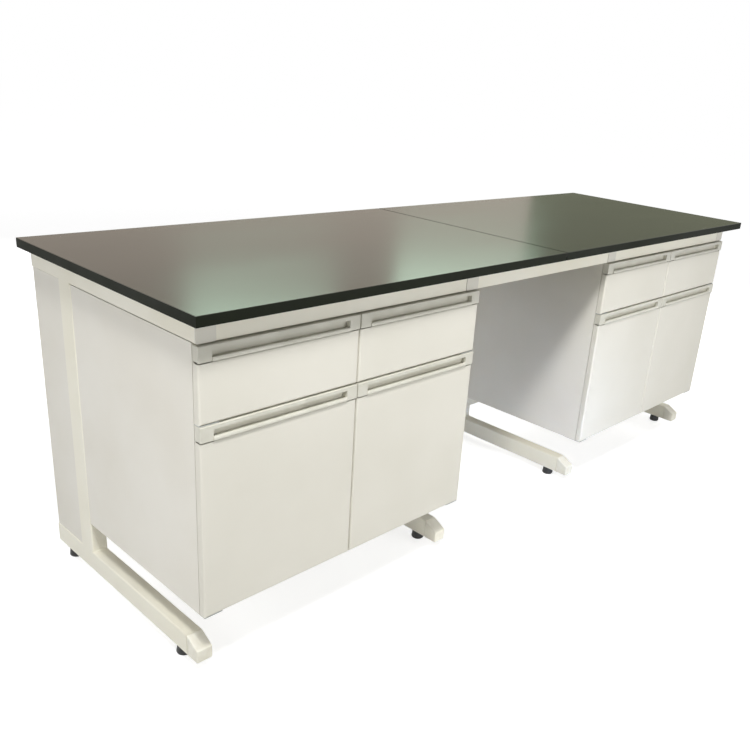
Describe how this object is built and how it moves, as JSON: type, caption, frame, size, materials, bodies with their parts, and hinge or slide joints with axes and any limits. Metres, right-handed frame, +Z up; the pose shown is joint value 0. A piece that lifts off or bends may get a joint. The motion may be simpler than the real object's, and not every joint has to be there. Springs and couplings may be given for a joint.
{
  "type": "laboratory workbench",
  "caption": "Laboratory bench with a dark slab worktop on steel C-frames, a knee space between hung cabinets, drawers over hinged doors, recessed handle strips and levelling feet.",
  "frame": {"origin": "on the floor under the middle of the worktop", "axes": "+X along the bench, -Y towards the user, +Z up"},
  "size_m": [2.33, 0.75, 0.85],
  "materials": {
    "worktop": "satin black compact laminate",
    "frame_paint": "ivory powder coat",
    "panel_paint": "ivory white powder coat",
    "box_paint": "light grey powder coat",
    "strip_plastic": "light grey moulded plastic",
    "cap_plastic": "ivory moulded plastic",
    "foot_plastic": "black nylon",
    "roller_nylon": "white nylon",
    "zinc_steel": "zinc plated",
    "bumper_rubber": "soft grey rubber"
  },
  "bodies": {
    "bench": {"worktop_left": "worktop", "worktop_right": "worktop", "foot_end_caps": "cap_plastic", "foot_rear_plugs": "cap_plastic", "arm_end_plates": "frame_paint", "front_rails": "frame_paint", "rear_rails": "frame_paint", "lower_crossbeams": "frame_paint", "rear_panels": "panel_paint", "end_covers": "panel_paint", "left_cabinet_carcass": "panel_paint", "right_cabinet_carcass": "panel_paint", "left_cabinet_partitions": "panel_paint", "right_cabinet_partitions": "panel_paint", "cupboard_shelves": "panel_paint", "shelf_clips": "zinc_steel", "fixed_drawer_runners": "zinc_steel", "fixed_runner_rollers": "roller_nylon", "door_pivot_brackets": "zinc_steel", "cabinet_hanging_bolts": "zinc_steel", "worktop_screws": "zinc_steel", "foot_weld_nuts": "zinc_steel", "closing_bumpers": "bumper_rubber", "far_left_c_frame": "frame_paint", "mid_left_c_frame": "frame_paint", "mid_right_c_frame": "frame_paint", "far_right_c_frame": "frame_paint"},
    "far_left_drawer": {"far_left_drawer_front": "panel_paint", "far_left_drawer_handle": "strip_plastic", "far_left_drawer_box": "box_paint", "far_left_drawer_rails": "zinc_steel"},
    "mid_left_drawer": {"mid_left_drawer_front": "panel_paint", "mid_left_drawer_handle": "strip_plastic", "mid_left_drawer_box": "box_paint", "mid_left_drawer_rails": "zinc_steel"},
    "mid_right_drawer": {"mid_right_drawer_front": "panel_paint", "mid_right_drawer_handle": "strip_plastic", "mid_right_drawer_box": "box_paint", "mid_right_drawer_rails": "zinc_steel"},
    "far_right_drawer": {"far_right_drawer_front": "panel_paint", "far_right_drawer_handle": "strip_plastic", "far_right_drawer_box": "box_paint", "far_right_drawer_rails": "zinc_steel"},
    "far_left_door": {"far_left_door": "panel_paint", "far_left_door_handle": "strip_plastic"},
    "mid_left_door": {"mid_left_door": "panel_paint", "mid_left_door_handle": "strip_plastic"},
    "mid_right_door": {"mid_right_door": "panel_paint", "mid_right_door_handle": "strip_plastic"},
    "far_right_door": {"far_right_door": "panel_paint", "far_right_door_handle": "strip_plastic"},
    "far_left_front_foot": {"far_left_front_foot": "foot_plastic"},
    "far_left_rear_foot": {"far_left_rear_foot": "foot_plastic"},
    "mid_left_front_foot": {"mid_left_front_foot": "foot_plastic"},
    "mid_left_rear_foot": {"mid_left_rear_foot": "foot_plastic"},
    "mid_right_front_foot": {"mid_right_front_foot": "foot_plastic"},
    "mid_right_rear_foot": {"mid_right_rear_foot": "foot_plastic"},
    "far_right_front_foot": {"far_right_front_foot": "foot_plastic"},
    "far_right_rear_foot": {"far_right_rear_foot": "foot_plastic"}
  },
  "joints": [
    {"name": "far_left_drawer_slide", "type": "slide", "parent": "bench", "child": "far_left_drawer", "axis": [0, -1, 0], "range_m": [0, 0.387]},
    {"name": "mid_left_drawer_slide", "type": "slide", "parent": "bench", "child": "mid_left_drawer", "axis": [0, -1, 0], "range_m": [0, 0.387]},
    {"name": "mid_right_drawer_slide", "type": "slide", "parent": "bench", "child": "mid_right_drawer", "axis": [0, -1, 0], "range_m": [0, 0.387]},
    {"name": "far_right_drawer_slide", "type": "slide", "parent": "bench", "child": "far_right_drawer", "axis": [0, -1, 0], "range_m": [0, 0.387]},
    {"name": "far_left_door_hinge", "type": "hinge", "parent": "bench", "child": "far_left_door", "pos_m": [-1.129, -0.324, 0.1675], "axis": [0, 0, -1], "range_deg": [0, 110]},
    {"name": "mid_left_door_hinge", "type": "hinge", "parent": "bench", "child": "mid_left_door", "pos_m": [-0.321, -0.324, 0.1675], "axis": [0, 0, 1], "range_deg": [0, 110]},
    {"name": "mid_right_door_hinge", "type": "hinge", "parent": "bench", "child": "mid_right_door", "pos_m": [0.321, -0.324, 0.1675], "axis": [0, 0, -1], "range_deg": [0, 110]},
    {"name": "far_right_door_hinge", "type": "hinge", "parent": "bench", "child": "far_right_door", "pos_m": [1.129, -0.324, 0.1675], "axis": [0, 0, 1], "range_deg": [0, 110]},
    {"name": "far_left_front_foot_turn", "type": "hinge", "parent": "bench", "child": "far_left_front_foot", "pos_m": [-1.115, -0.21, 0], "axis": [0, 0, 1], "continuous": true},
    {"name": "far_left_rear_foot_turn", "type": "hinge", "parent": "bench", "child": "far_left_rear_foot", "pos_m": [-1.115, 0.32, 0], "axis": [0, 0, 1], "continuous": true},
    {"name": "mid_left_front_foot_turn", "type": "hinge", "parent": "bench", "child": "mid_left_front_foot", "pos_m": [-0.335, -0.21, 0], "axis": [0, 0, 1], "continuous": true},
    {"name": "mid_left_rear_foot_turn", "type": "hinge", "parent": "bench", "child": "mid_left_rear_foot", "pos_m": [-0.335, 0.32, 0], "axis": [0, 0, 1], "continuous": true},
    {"name": "mid_right_front_foot_turn", "type": "hinge", "parent": "bench", "child": "mid_right_front_foot", "pos_m": [0.335, -0.21, 0], "axis": [0, 0, 1], "continuous": true},
    {"name": "mid_right_rear_foot_turn", "type": "hinge", "parent": "bench", "child": "mid_right_rear_foot", "pos_m": [0.335, 0.32, 0], "axis": [0, 0, 1], "continuous": true},
    {"name": "far_right_front_foot_turn", "type": "hinge", "parent": "bench", "child": "far_right_front_foot", "pos_m": [1.115, -0.21, 0], "axis": [0, 0, 1], "continuous": true},
    {"name": "far_right_rear_foot_turn", "type": "hinge", "parent": "bench", "child": "far_right_rear_foot", "pos_m": [1.115, 0.32, 0], "axis": [0, 0, 1], "continuous": true}
  ]
}
